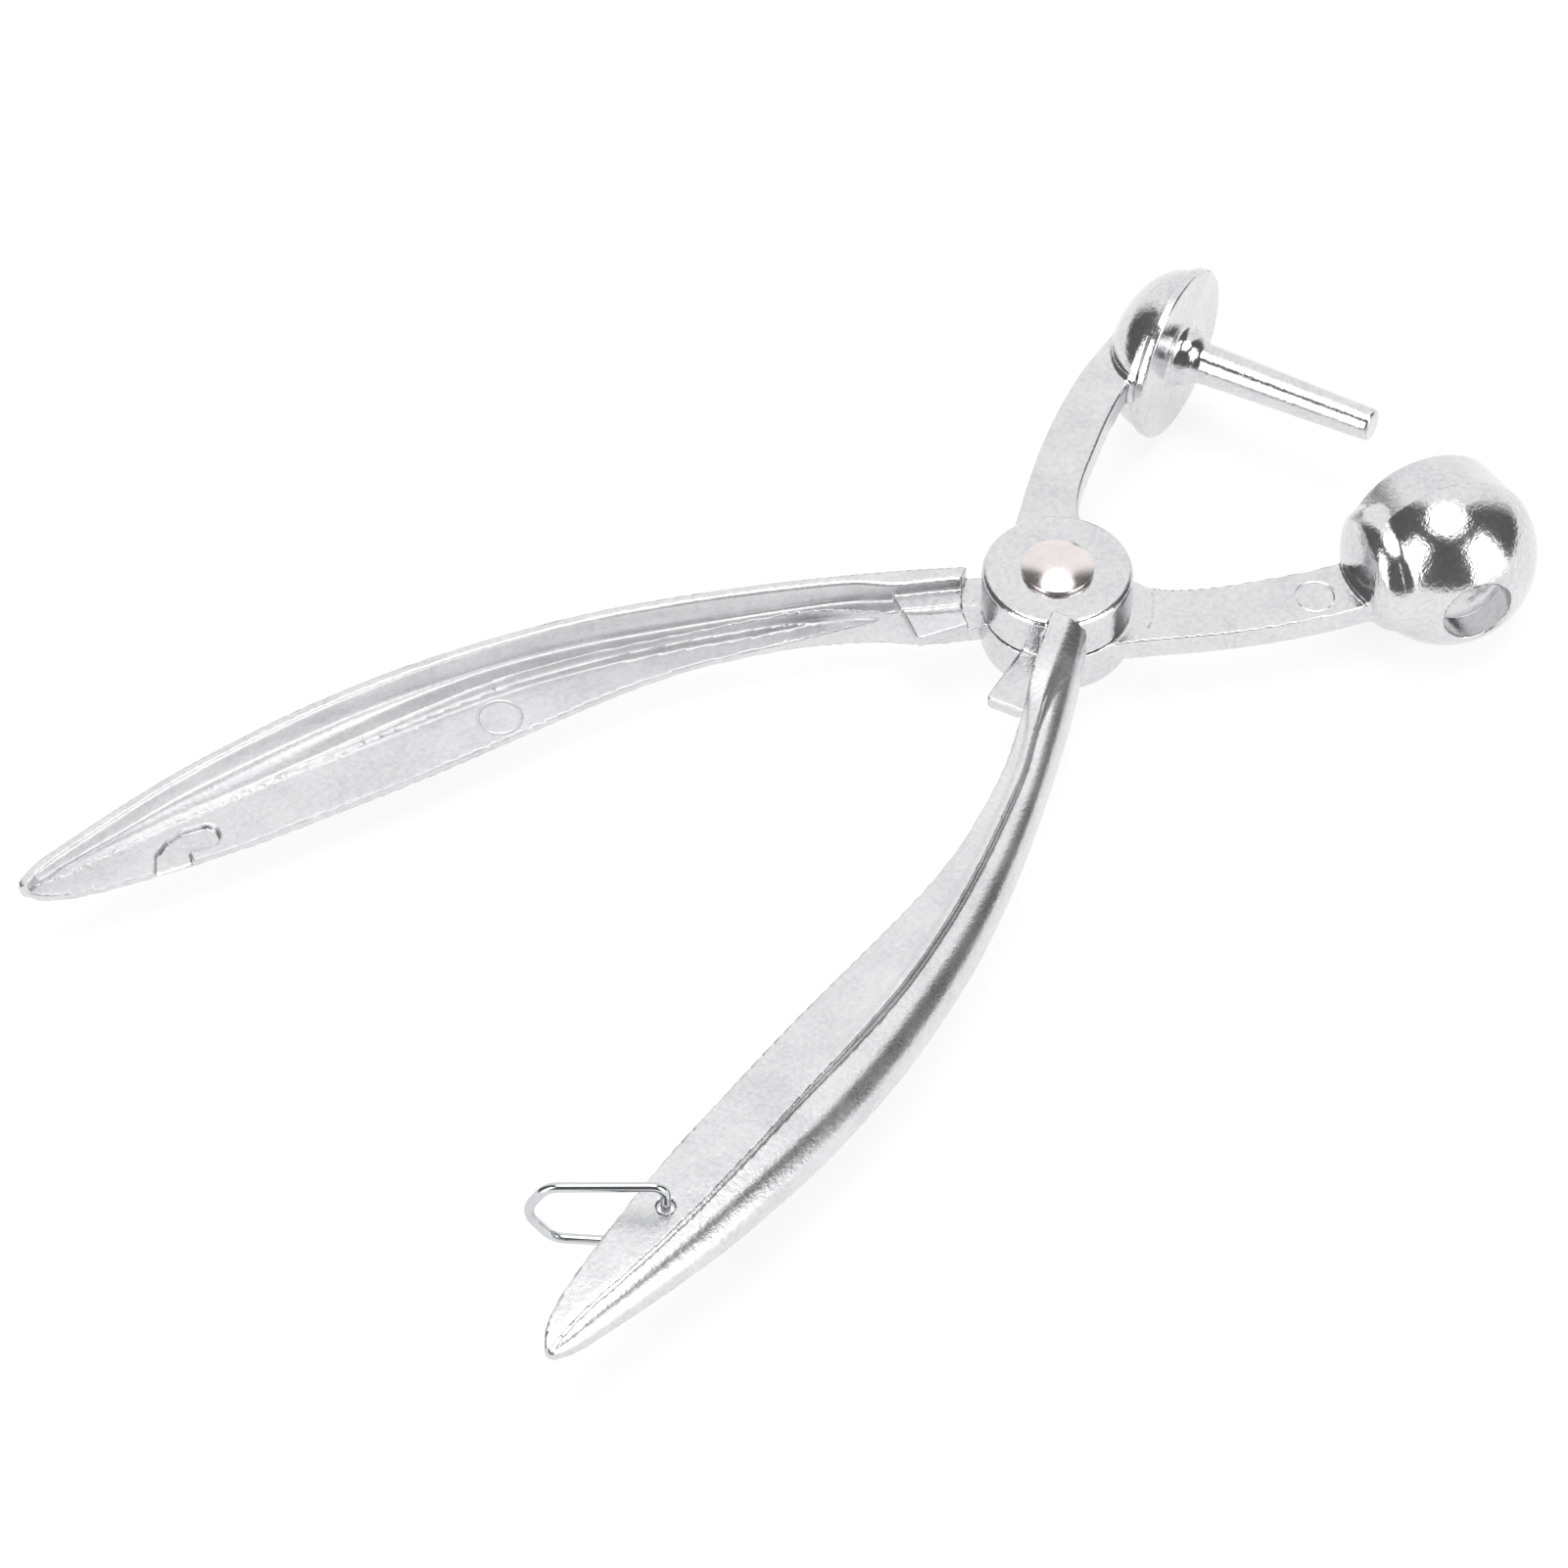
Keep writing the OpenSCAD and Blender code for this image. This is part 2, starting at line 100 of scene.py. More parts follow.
# Cup: ball, its bore and taper, the hole for the stone, and the collar on the arm.
BALL_R, BALL_Y = 10.2, 7.9
BOWL_R, BOWL_TAPER, BOWL_DEPTH = 7.2, 0.2, 7.8
RIM_REACH, RIM_TAPER = 6.8, 1.5
STONE_R = 4
COLLAR_R, COLLAR_PIPE_R = 11.6, 7.4

# Place in the tables of the handle's tip; its length is stretched to LENGTH.
TABLE_END = 119.5
# Edges of the grip from above.
EDGE_IN = [(6, 2.4), (14, 4), (20, 5.7), (27, 7.3), (35, 8.1), (42, 8.2), (50, 7.4), (60, 5.7),
           (70, 4), (80, 2.5), (90, 1), (100, -0.1), (108, -0.6), (113, -0.8), (117, -0.4),
           (119.5, 0.7)]
EDGE_RIDGE = [(6, 4.4), (14, 6.1), (20, 7.7), (27, 9.5), (35, 10.7), (42, 11.5), (50, 12),
              (60, 11.9), (70, 10.8), (80, 9.3), (90, 7.8), (100, 5.9), (108, 3.9), (114, 2.2),
              (119.5, 1.1)]
EDGE_OUT = [(6, 6.6), (14, 8.9), (20, 10.4), (27, 12), (35, 13.6), (42, 14.7), (50, 15.6),
            (60, 15.9), (70, 15.5), (80, 14.3), (90, 12.3), (100, 9.6), (108, 6.8), (113, 4.9),
            (117, 3.2), (119.5, 1.6)]
# Heights of the flange's top and of the wall's rim.
TOP = [(6, 5.4), (14, 5.2), (20, 5), (30, 4.7), (70, 4.7), (90, 4.3), (100, 3.9), (108, 3.5),
       (114, 3), (117.5, 2.5), (119.5, 1.9)]
RIM = [(6, -1.9), (20, -1.9), (40, -1.6), (60, -1.2), (80, -0.8), (100, -0.3), (110, 0),
       (117, 0.2), (119.5, 0.6)]
# Line in the channel, from above, where the shelf steps up to the ceiling under the flange.
EDGE_CREST = [(6, 1), (10.2, 2), (15.8, 3.6), (19.1, 5.8), (23.6, 8.4), (28, 9.7), (34, 10.6),
              (39, 11.2), (50, 12), (60, 11.9), (70, 10.8), (80, 9.3), (90, 7.8), (100, 5.9),
              (108, 3.9), (114, 2.2), (119.5, 1.1)]
# Heights of that ceiling and of the shelf.
CEILING = [(6, 1.1), (18.3, 1.1), (22, 2), (26, 2.8), (30, 3.3), (36, 3.6), (119.5, 3.6)]
SHELF = [(6, -0.5), (15.4, -0.5), (18, 0), (22, 0.6), (28, 1.1), (39, 1.5), (61, 1.4), (70, 1.7),
         (80, 2.2), (90, 2.6), (100, 2.4), (108, 2.05), (114, 1.6), (119.5, 0.7)]
# Thickness of the flange as a share of FLANGE: thinner where the bail passes.
THIN = [(6, 1), (86, 1), (98, 0.8), (119.5, 0.8)]
# Edges of the arms from above.
ARM_OUT = [(1, 7.2), (6, 8.2), (12, 9.7), (16, 10.6), (20, 11.3), (24, 11.8), (28, 12.1),
           (32, 12.1), (40, 11.4)]
PUNCH_ARM_IN = [(7, -0.6), (8.6, 0.8), (10.3, 2.4), (12.5, 3.6), (15.7, 4.6), (20, 5.4),
                (25, 6.2), (30, 6.6), (40, 6.6)]
CUP_ARM_IN = [(7, -2.4), (9, -0.6), (10.6, 1.3), (13, 2.6), (17, 3.7), (21.5, 4.4), (28, 5.1),
              (40, 5.6)]
# Depth of the step outside the ridge, and thickness of the channel's wall.
STEP = [(6, 0.0), (13, 0.25), (20, 0.9), (28, 1.2), (60, 1.2), (74, 0.9), (86, 0.45), (100, 0.35),
        (119.5, 0.2)]
SIDE_WALL = [(6, 1.9), (12, 2.2), (16, 2.4), (18, 2.1), (20.6, 1.55), (28, 1.45), (60, 1.4),
             (90, 1.3), (119.5, 1.2)]


def curve(table, s):
    """Smooth curve through a table of (position, value), and its slope."""
    t = np.asarray(table, float)
    x, y = t[:, 0], t[:, 1]
    lo = np.maximum(np.arange(len(x)) - 1, 0)
    hi = np.minimum(np.arange(len(x)) + 1, len(x) - 1)
    m = (y[hi] - y[lo]) / (x[hi] - x[lo])
    s = np.clip(s, x[0], x[-1])
    i = np.clip(np.searchsorted(x, s, side="right") - 1, 0, len(x) - 2)
    h = x[i + 1] - x[i]
    u = (s - x[i]) / h
    value = (y[i] * (2 * u**3 - 3 * u**2 + 1) + m[i] * h * (u**3 - 2 * u**2 + u)
             + y[i + 1] * (3 * u**2 - 2 * u**3) + m[i + 1] * h * (u**3 - u**2))
    slope = ((y[i + 1] - y[i]) * (6 * u - 6 * u**2) / h + m[i] * (3 * u**2 - 4 * u + 1)
             + m[i + 1] * (3 * u**2 - 2 * u))
    return value, slope


def at(table, s):
    return curve(table, s)[0]


def side_of(table, s, w):
    """Distance from a curved edge seen from above, positive beyond it."""
    value, slope = curve(table, s)
    return (w - value) / np.sqrt(1 + slope**2)


def join(a, b, r):
    """Both shapes, with a fillet of radius r where they meet."""
    return (np.maximum(r, np.minimum(a, b))
            - np.hypot(np.maximum(r - a, 0), np.maximum(r - b, 0)))


def meet(a, b, r):
    """What both shapes share, with its edge rounded to radius r."""
    return (np.minimum(-r, np.maximum(a, b))
            + np.hypot(np.maximum(r + a, 0), np.maximum(r + b, 0)))


def cut(a, b, r):
    return meet(a, -b, r)


def smooth(u):
    u = np.clip(u, 0, 1)
    return u * u * (3 - 2 * u)


def handle_s(x):
    """Place in the tables of a point on the handle."""
    return HUB_R + (-x - HUB_R) / ((LENGTH - HUB_R) / (TABLE_END - HUB_R))


# ---------------------------------------------------------------- the grip

def bulge(s, w, z):
    """Outer wall of the grip and the sloping face between it and the ridge."""
    width = at(EDGE_OUT, s) - at(EDGE_RIDGE, s)
    slope, widest = 0.16, 2.6
    shoulder = np.minimum(widest, 0.62 * width + 0.1)
    lean = 0.05 * np.maximum(1.2 - z, 0)
    fall = slope * np.clip(side_of(EDGE_RIDGE, s, w), -1, 8)
    face = (z - (at(TOP, s) - at(STEP, s) - 0.02 - fall)) / math.sqrt(1 + slope**2)
    return meet(side_of(EDGE_OUT, s, w) + lean, face, shoulder)


def grip(x, y, z):
    """Outside of the grip: flat flange, ridge, and a step down to the bulging outer wall."""
    s, w = handle_s(x), -y
    inner = -side_of(EDGE_IN, s, w)
    past_ridge = side_of(EDGE_RIDGE, s, w)
    top, low = at(TOP, s), at(RIM, s)
    crease = 1.15 + 1.6 * smooth((24 - s) / 12)
    dip = 0.22 * smooth(1 + (-past_ridge - crease) / 0.6) * smooth((78 - s) / 20)
    flange = meet(past_ridge, z - (top - dip), 0.22)
    foot = 0.35 + 1.4 * smooth((22 - s) / 10)
    body = join(flange, bulge(s, w, z), foot)
    body = meet(body, inner, 0.18)
    body = meet(body, low - z, 0.22)
    return meet(body, -x - LENGTH, 0.5)


def hollow(x, y, z):
    """Channel under the grip: an outer shelf and, past the crest, a deeper ceiling."""
    s, w = handle_s(x), -y
    past_crest = side_of(EDGE_CREST, s, w)
    roof = np.minimum(at(CEILING, s), at(TOP, s) - FLANGE * at(THIN, s))
    shelf = np.minimum(at(SHELF, s) + 0.25 * np.clip(past_crest, -4, 3), roof + 0.1)
    wall = side_of(EDGE_OUT, s, w) + at(SIDE_WALL, s) + 0.05 * (z + 1.5)
    outer = meet((z - shelf) * 0.97, wall, 0.6)
    inner = meet(z - roof, np.maximum(past_crest, wall), 0.5)
    far = np.maximum(join(outer, inner, 0.12 + 0.5 * smooth((s - 55) / 25)), STOP_END + x)
    least = 0.9
    skin = np.minimum(bulge(s, w, z) + least, side_of(EDGE_RIDGE, s, w) + 0.3)
    far = meet(far, skin, 0.2)
    near = np.maximum(meet(z - SHELF[0][1], wall, 0.25), -x - STOP_END - 0.4)
    return np.minimum(near, far)


def stop_web(x, y, z):
    """Plate by the hub whose edge meets the other lever's: lower inside the channel's crest."""
    slope = math.tan(math.radians((OPEN - CLOSE) / 2))
    s, w = -x, -y
    inner = (-s * slope - w) / math.sqrt(1 + slope**2)
    ends = meet(np.maximum(inner, 6.6 - s), s - STOP_END, 0.5)
    low = -0.9 + 0.55 * smooth(0.5 + side_of(EDGE_CREST, s, w) / 0.9)
    plate = np.maximum(low - z, z - 0.6)
    plate = np.maximum(plate, side_of(EDGE_IN, handle_s(x), w) - 0.6)
    web = meet(ends, plate, 0.22)
    return np.maximum(web, -hub_relief(x, y, z))


def hub_relief(x, y, z):
    """Round space under the blank for the hub of the other lever."""
    return np.maximum(np.hypot(x, y) - RELIEF_R, z - GAP)


def hub(x, y, z):
    disc = meet(np.hypot(x, y) - HUB_R, z - HUB_H, 0.75)
    return meet(disc, GAP - z, 0.12)


def arm(x, y, z, inner_edge, end):
    plan = np.maximum(side_of(ARM_OUT, x, y), -side_of(inner_edge, np.maximum(x, 7), y))
    plan = np.maximum(np.maximum(plan, x - end), 2 - x)
    flat = meet(plan, z - ARM_T, 0.4)
    return meet(flat, GAP - z, 0.1)


def tapered(r, h, r0, h0, r1, h1):
    """Round bar about an axis: radius r0 at h0 and r1 at h1."""
    k = (r1 - r0) / (h1 - h0)
    return (r - (r0 + k * (h - h0))) / math.sqrt(1 + k * k)


# ---------------------------------------------------------------- jaws

def punch_head(x, y, z):
    """Pressing disc with a dome behind it, and the punch that stands on it."""
    r, h = np.hypot(x - PUNCH_X, z), DISC_Y - y
    half = DISC_EDGE / 2
    disc = meet(r - DISC_R, np.abs(h + half) - half, 0.28)
    back = h + DISC_EDGE
    q = np.sqrt((r / DOME_R) ** 2 + (back / DOME_H) ** 2)
    g = np.sqrt((r / DOME_R**2) ** 2 + (back / DOME_H**2) ** 2)
    dome = np.maximum(q * (q - 1) / np.maximum(g, 1e-4), h + 1.0)
    pin = np.maximum(tapered(r, h, PIN_R, 4.1, PIN_TIP_R, 23.5), -h)
    pin = meet(pin, h - PIN_LENGTH, 0.35)
    boss = meet(tapered(r, h, BOSS_R, 0, BOSS_TOP_R, 2.2), np.abs(h - 0.6) - 1.5, 0.7)
    body = join(disc, dome, 0.25)
    body = join(body, boss, 0.9)
    return join(body, pin, 1.2)


def from_cup_axis(x, y, z):
    """Distance from the axis of the cup, and distance from the ball's middle along it."""
    return np.hypot(x - CUP_X, z), BALL_Y - y


def cup_ball(x, y, z):
    r, h = from_cup_axis(x, y, z)
    sphere = np.maximum(np.hypot(r, h) - BALL_R, h - 0.5)
    k = RIM_TAPER / RIM_REACH
    cone = np.maximum((r - BALL_R + k * h) / math.sqrt(1 + k * k), -h)
    return meet(np.minimum(sphere, cone), h - RIM_REACH, 0.5)


def cup_collar(x, y, z):
    dx, dy = x - CUP_X, y - BALL_Y
    shell = np.sqrt(dx**2 + dy**2 + z**2) - COLLAR_R
    pipe = meet(shell, np.hypot(dy, z) - COLLAR_PIPE_R, 1.1)
    return meet(np.maximum(pipe, dx), z - ARM_T, 0.4)


def cup_inside(x, y, z):
    r, h = from_cup_axis(x, y, z)
    sphere = np.maximum(np.hypot(r, h) - BOWL_R, h - 0.3)
    k = BOWL_TAPER / BOWL_DEPTH
    bore = np.maximum((r - BOWL_R - k * h) / math.sqrt(1 + k * k), -h)
    return np.minimum(sphere, bore)


def stone_hole(x, y, z):
    r, h = from_cup_axis(x, y, z)
    return np.maximum(r - STONE_R, h)


def polygon(x, y, points):
    """Signed distance to a closed outline."""
    best, inside = np.full(np.broadcast(x, y).shape, 1e9), None
    n = len(points)
    for i in range(n):
        ax, ay = points[i]
        bx, by = points[(i + 1) % n]
        ex, ey = bx - ax, by - ay
        px, py = x - ax, y - ay
        t = np.clip((px * ex + py * ey) / (ex * ex + ey * ey), 0, 1)
        best = np.minimum(best, np.hypot(px - t * ex, py - t * ey))
        crosses = (ay <= y) != (by <= y)
        beside = crosses & ((ex * py - ey * px > 0) == (by > ay))
        inside = beside if inside is None else inside ^ beside
    return np.where(inside, -best, best)


# Outline of the notch about its rounded end, which has this radius, and where that end lies.
NOTCH = [(1, -1.5), (-1.3, -1.4), (-3.2, -0.5), (-5, 1), (-6.2, 4.6), (-1.6, 4.6), (-1.5, 1.7),
         (-0.8, 1.5), (1, 1.5)]
NOTCH_R, NOTCH_SHIFT = 1.5, (HOLE[0] + 0.5, 2.9)
# Metal that the notch leaves under the flange's top.
NOTCH_WEB = 0.4


def notch_plan(x, y):
    """Hooked notch that catches the bail, seen from above."""
    px, py = x + NOTCH_SHIFT[0], y + NOTCH_SHIFT[1]
    shape = np.minimum(np.hypot(px - 1, py) - NOTCH_R, polygon(px, py, NOTCH))
    return cut(shape, np.hypot(px + 0.95, py - 1.9) - 0.45, 0.1)


# ---------------------------------------------------------------- whole levers

def blank(x, y, z, inner_edge, end, bore_r, lo, hi):
    """The casting that both levers share, for points with x from lo to hi."""
    hub_reach, neck_x = 10.5, -6
    parts = []
    if lo < hub_reach and hi > -hub_reach:
        parts.append((hub(x, y, z), 0.9))
    if lo < -4:
        body = np.maximum(grip(x, y, z), x - neck_x)
        parts.append((body, 0.9 - 0.7 * smooth((z - 3.8) / 1.2)))
    if hi > 0:
        parts.append((arm(x, y, z, inner_edge, end), 0.5))
    body = parts[0][0]
    for other, r in parts[1:]:
        body = join(body, other, r)
    if hi > -13 and lo < 13:
        body = cut(body, hub_relief(x, y, z), 0.3)
    if lo < -8:
        rim = smooth(side_of(EDGE_RIDGE, handle_s(x), -y) / 0.8)
        body = cut(body, hollow(x, y, z), 0.12 + 0.33 * rim)
    if lo < -4 and hi > -STOP_END - 3:
        body = join(body, stop_web(x, y, z), 0.2)
    if lo < 8 and hi > -8:
        body = cut(body, np.hypot(x, y) - bore_r, 0.05)
        body = np.maximum(body, -np.maximum(np.hypot(x, y) - POCKET_R, z - POCKET_TOP))
        body = np.maximum(body, -leg_slot(x, y, z))
    return body


def leg_slot(x, y, z):
    """Slot in the wall of the pocket for the leg of the spring."""
    middle, half, end, top = 4.3, 0.6, 6.2, 2.7
    leg = np.maximum(np.abs(x - middle) - half, np.maximum(y, z - top))
    return np.maximum(leg, -end - y)


def punch_field(x, y, z, lo, hi):
    body = blank(x, y, z, PUNCH_ARM_IN, PUNCH_X - 3.6, PUNCH_BORE_R, lo, hi)
    if hi > 26:
        body = join(body, punch_head(x, y, z), 0.5)
    if lo < -HOLE[0] + 3 and hi > -HOLE[0] - 3:
        body = cut(body, np.hypot(x + HOLE[0], y + HOLE[1]) - HOLE_R, 0.12)
    return body


def cup_field(x, y, z, lo, hi):
    body = blank(x, y, z, CUP_ARM_IN, CUP_X - 4, CUP_BORE_R, lo, hi)
    if hi > 26:
        body = join(body, cup_collar(x, y, z), 0.5)
        body = join(body, cup_ball(x, y, z), 0.4)
        body = cut(body, cup_inside(x, y, z), 0.3)
        body = cut(body, stone_hole(x, y, z), 0.22)
    if lo < -HOLE[0] + 9 and hi > -HOLE[0] - 9:
        web = z - (at(TOP, handle_s(x)) - NOTCH_WEB)
        body = cut(body, np.maximum(notch_plan(x, y), np.maximum(-z, web)), 0.3)
    if lo < 8 and hi > -8:
        sink = (np.hypot(x, y) - CUP_BORE_R - (z - SINK_Z)) / math.sqrt(2)
        body = np.maximum(body, -sink)
    return body


# ---------------------------------------------------------------- net on a field

def slopes(field, p, lo, hi, e=0.01):
    g = np.empty_like(p)
    for k in range(3):
        d = np.zeros(3)
        d[k] = e
        g[:, k] = (field(*(p + d).T, lo, hi) - field(*(p - d).T, lo, hi)) / (2 * e)
    return g


CORNERS = [(a, b, c) for a in (0, 1) for b in (0, 1) for c in (0, 1)]


def sample(field, xs, ys, zs, window):
    """The field on a grid, worked out in slabs and only inside each slab's window."""
    values = np.full((len(xs), len(ys), len(zs)), 1.0, np.float32)
    slab = 24
    for i in range(0, len(xs), slab):
        block = slice(i, min(i + slab, len(xs)))
        x = xs[block]
        y0, y1, z0, z1 = window(x[-1])
        j = slice(*np.searchsorted(ys, (y0, y1)))
        k = slice(*np.searchsorted(zs, (z0, z1)))
        values[block, j, k] = field(x[:, None, None], ys[None, j, None], zs[None, None, k],
                                    x[0] - 1, x[-1] + 1)
    return values


def crossed_cells(inside):
    """Cells with corners on both sides of the surface, and a grid of their numbers."""
    count = np.zeros([n - 1 for n in inside.shape], np.int8)
    n0, n1, n2 = inside.shape
    for a, b, c in CORNERS:
        count += inside[a:a + n0 - 1, b:b + n1 - 1, c:c + n2 - 1]
    active = (count > 0) & (count < 8)
    cells = np.argwhere(active)
    number = np.full(active.shape, -1, np.int32)
    number[active] = np.arange(len(cells))
    return cells, number


def cell_points(values, cells, axes):
    """One point in each cell: the mean of where the surface crosses the cell's edges."""
    total, hits = np.zeros((len(cells), 3)), np.zeros(len(cells))
    corner = {c: values[cells[:, 0] + c[0], cells[:, 1] + c[1], cells[:, 2] + c[2]]
              for c in CORNERS}
    for a in CORNERS:
        for k in range(3):
            if a[k]:
                continue
            b = tuple(1 if m == k else a[m] for m in range(3))
            fa, fb = corner[a], corner[b]
            on = (fa < 0) != (fb < 0)
            t = fa[on] / (fa[on] - fb[on])
            for m in range(3):
                q0 = axes[m][cells[on, m] + a[m]]
                q1 = axes[m][cells[on, m] + b[m]]
                total[on, m] += q0 + t * (q1 - q0)
            hits[on] += 1
    return total / hits[:, None]


def net_faces(inside, number):
    """A quad round each grid edge that crosses the surface, facing out."""
    faces = []
    for k in range(3):
        a = [slice(1, -1)] * 3
        b = [slice(1, -1)] * 3
        a[k], b[k] = slice(0, -1), slice(1, None)
        first, second = inside[tuple(a)], inside[tuple(b)]
        at_edge = np.argwhere(first != second)
        rising = first[tuple(at_edge.T)]
        m, n = (k + 1) % 3, (k + 2) % 3
        cell = at_edge.copy()
        for d in (m, n):
            cell[:, d] += 1
        quad = []
        for dm, dn in ((-1, -1), (0, -1), (0, 0), (-1, 0)):
            c = cell.copy()
            c[:, m] += dm
            c[:, n] += dn
            quad.append(number[tuple(c.T)])
        quad = np.stack(quad, 1)
        quad[~rising] = quad[~rising][:, ::-1]
        faces.append(quad)
    return np.concatenate(faces)


def settle(field, points):
    """Move points onto the surface by its slope, and give the normals there."""
    points, normals = points.copy(), np.empty_like(points)
    order = np.argsort(points[:, 0], kind="stable")
    batch, rounds, longest = 12000, 3, 0.12
    for some in np.array_split(order, max(1, len(order) // batch)):
        p = points[some]
        lo, hi = p[:, 0].min() - 1, p[:, 0].max() + 1
        for _ in range(rounds):
            g = slopes(field, p, lo, hi)
            size = np.maximum((g**2).sum(1), 0.2)
            move = -field(*p.T, lo, hi)[:, None] * g / size[:, None]
            length = np.linalg.norm(move, axis=1, keepdims=True)
            p = p + move * np.minimum(1, longest / np.maximum(length, 1e-9))
        g = slopes(field, p, lo, hi, 0.03)
        points[some] = p
        normals[some] = g / np.maximum(np.linalg.norm(g, axis=1, keepdims=True), 1e-9)
    return points, normals


def surface_net(field, xs, ys, zs, window):
    """Quads on the surface where the field is 0, with the normals at its points."""
    values = sample(field, xs, ys, zs, window)
    inside = values < 0
    cells, number = crossed_cells(inside)
    points, normals = settle(field, cell_points(values, cells, (xs, ys, zs)))
    return points, net_faces(inside, number), normals


def make_mesh(name, points, faces, normals=None):
    """Mesh in metres from points in millimetres of the row frame."""
    mesh = bpy.data.meshes.new(name)
    mesh.vertices.add(len(points))
    mesh.vertices.foreach_set("co", (np.asarray(points) * MM).astype(np.float32).ravel())
    faces = np.asarray(faces, np.int32)
    mesh.loops.add(faces.size)
    mesh.loops.foreach_set("vertex_index", faces.ravel())
    mesh.polygons.add(len(faces))
    size = faces.shape[1]
    mesh.polygons.foreach_set("loop_start", np.arange(0, faces.size, size, dtype=np.int32))
    mesh.polygons.foreach_set("loop_total", np.full(len(faces), size, np.int32))
    mesh.update(calc_edges=True)
    mesh.validate()
    mesh.polygons.foreach_set("use_smooth", np.ones(len(mesh.polygons), bool))
    if normals is not None:
        mesh.normals_split_custom_set_from_vertices(np.asarray(normals, float).tolist())
    obj = bpy.data.objects.new(name, mesh)
    bpy.context.scene.collection.objects.link(obj)
    return obj


def spaced(a, b, step):
    return np.linspace(a, b, max(2, int(round((b - a) / step)) + 1))


def rot_z(angle):
    c, s = math.cos(math.radians(angle)), math.sin(math.radians(angle))
    return np.array([[c, -s, 0], [s, c, 0], [0, 0, 1.0]])


def finish(points):
    """How smooth the casting is: 0 inside the channel, as cast, and 1 on the bright jaws."""
    x, y, z = points.T
    shine = 0.45 + 0.35 * smooth((x + 12) / 4) + 0.2 * smooth((x - 28) / 4)
    inside = smooth((0.5 - np.abs(hollow(x, y, z))) / 0.3) * smooth((-x - 9) / 2)
    return shine * (1 - inside)


# Box round the blank that the net fills: stretches of X with how coarse each is, Y and Z.
STRETCHES = [(-119.6, -105, 1), (-105, -91, 1), (-91, -30, 1.35), (-30, 54, 1)]
BOX_Y, BOX_Z = (-20.2, 19.4), (-11, 11)


def lever(name, field, flip, turn):
    """Mesh of one lever: its field, whether the blank is turned over, and its turn about Z."""
    fine = 0.3
    xs = np.unique(np.concatenate([spaced(a, b, fine * k) for a, b, k in STRETCHES]))
    ys, zs = spaced(*BOX_Y, fine), spaced(*BOX_Z, fine)

    def window(x1):
        """Limits in Y and Z of the slab that ends at x1."""
        if x1 < -12:
            return -17, 3, -2.6, 6.2
        if x1 < 26:
            return -13, 13.5, -2.6, 6.2
        return *BOX_Y, *BOX_Z

    points, faces, normals = surface_net(field, xs, ys, zs, window)
    shine = finish(points)
    spin = rot_z(turn)
    if flip:
        spin = spin @ np.diag([1.0, -1, -1])
    points = points @ spin.T + np.array([0, 0, HUB_H])
    piece = make_mesh(name, points, faces, normals @ spin.T)
    layer = piece.data.attributes.new("finish", "FLOAT", "POINT")
    layer.data.foreach_set("value", shine.astype(np.float32))
    return piece


punch_piece = lever("punch_lever_skin", punch_field, False, OPEN / 2)
cup_piece = lever("cup_lever_skin", cup_field, True, -OPEN / 2)


# ---------------------------------------------------------------- wire and turned pieces

def unit(v):
    v = np.asarray(v, float)
    return v / np.linalg.norm(v)


def tube(name, line, d, sides, closed, up=(0, 0, 1)):
    """Round wire along a line of points, closed into a ring or with flat ends."""
    line = np.asarray(line, float)
    n = len(line)
    if closed:
        heading = np.roll(line, -1, 0) - np.roll(line, 1, 0)
    else:
        heading = np.gradient(line, axis=0)
    heading /= np.linalg.norm(heading, axis=1, keepdims=True)
    side = np.cross(np.broadcast_to(up, heading.shape), heading)
    side /= np.linalg.norm(side, axis=1, keepdims=True)
    other = np.cross(heading, side)
    a = np.arange(sides) * 2 * math.pi / sides
    ring = (np.cos(a)[None, :, None] * side[:, None]
            + np.sin(a)[None, :, None] * other[:, None])
    points = (line[:, None] + d / 2 * ring).reshape(-1, 3)
    normals = ring.reshape(-1, 3)
    i, k = np.meshgrid(np.arange(n if closed else n - 1), np.arange(sides), indexing="ij")
    j, m = (i + 1) % n, (k + 1) % sides
    faces = np.stack([i * sides + k, i * sides + m, j * sides + m, j * sides + k], -1)
    faces = faces.reshape(-1, 4)
    if not closed:
        caps = []
        for end, ids, outwards in ((0, np.arange(sides)[::-1], -1),
                                   (n - 1, (n - 1) * sides + np.arange(sides), 1)):
            centre = len(points)
            points = np.vstack([points, line[end]])
            normals = np.vstack([normals, heading[end] * outwards])
            for q in range(0, sides, 2):
                caps.append([centre, ids[q], ids[(q + 1) % sides], ids[(q + 2) % sides]])
        faces = np.vstack([faces, caps])
    return make_mesh(name, points, faces, normals)


def bent_loop(corners, per):
    """Points along a closed flat loop with rounded corners: (reach, height, bend radius) each."""
    out, n = [], len(corners)
    for i in range(n):
        a, b, c = (np.array([corners[q % n][0], 0, corners[q % n][1]]) for q in (i - 1, i, i + 1))
        u, v, r = unit(b - a), unit(c - b), corners[i][2]
        turn = math.acos(np.clip(u @ v, -1, 1))
        start, inward = b - u * r * math.tan(turn / 2), unit(v - u * (u @ v))
        for k in range(per + 1):
            q = turn * k / per
            out.append(start + r * (math.sin(q) * u + (1 - math.cos(q)) * inward))
    return np.array(out)


def even(line, step, closed):
    """The same line with its points evenly spaced."""
    p = np.vstack([line, line[:1]]) if closed else np.asarray(line)
    d = np.concatenate([[0], np.cumsum(np.linalg.norm(np.diff(p, axis=0), axis=1))])
    n = max(8, int(round(d[-1] / step)))
    t = np.linspace(0, d[-1], n + 1)
    q = np.stack([np.interp(t, d, p[:, k]) for k in range(3)], 1)
    return q[:-1] if closed else q


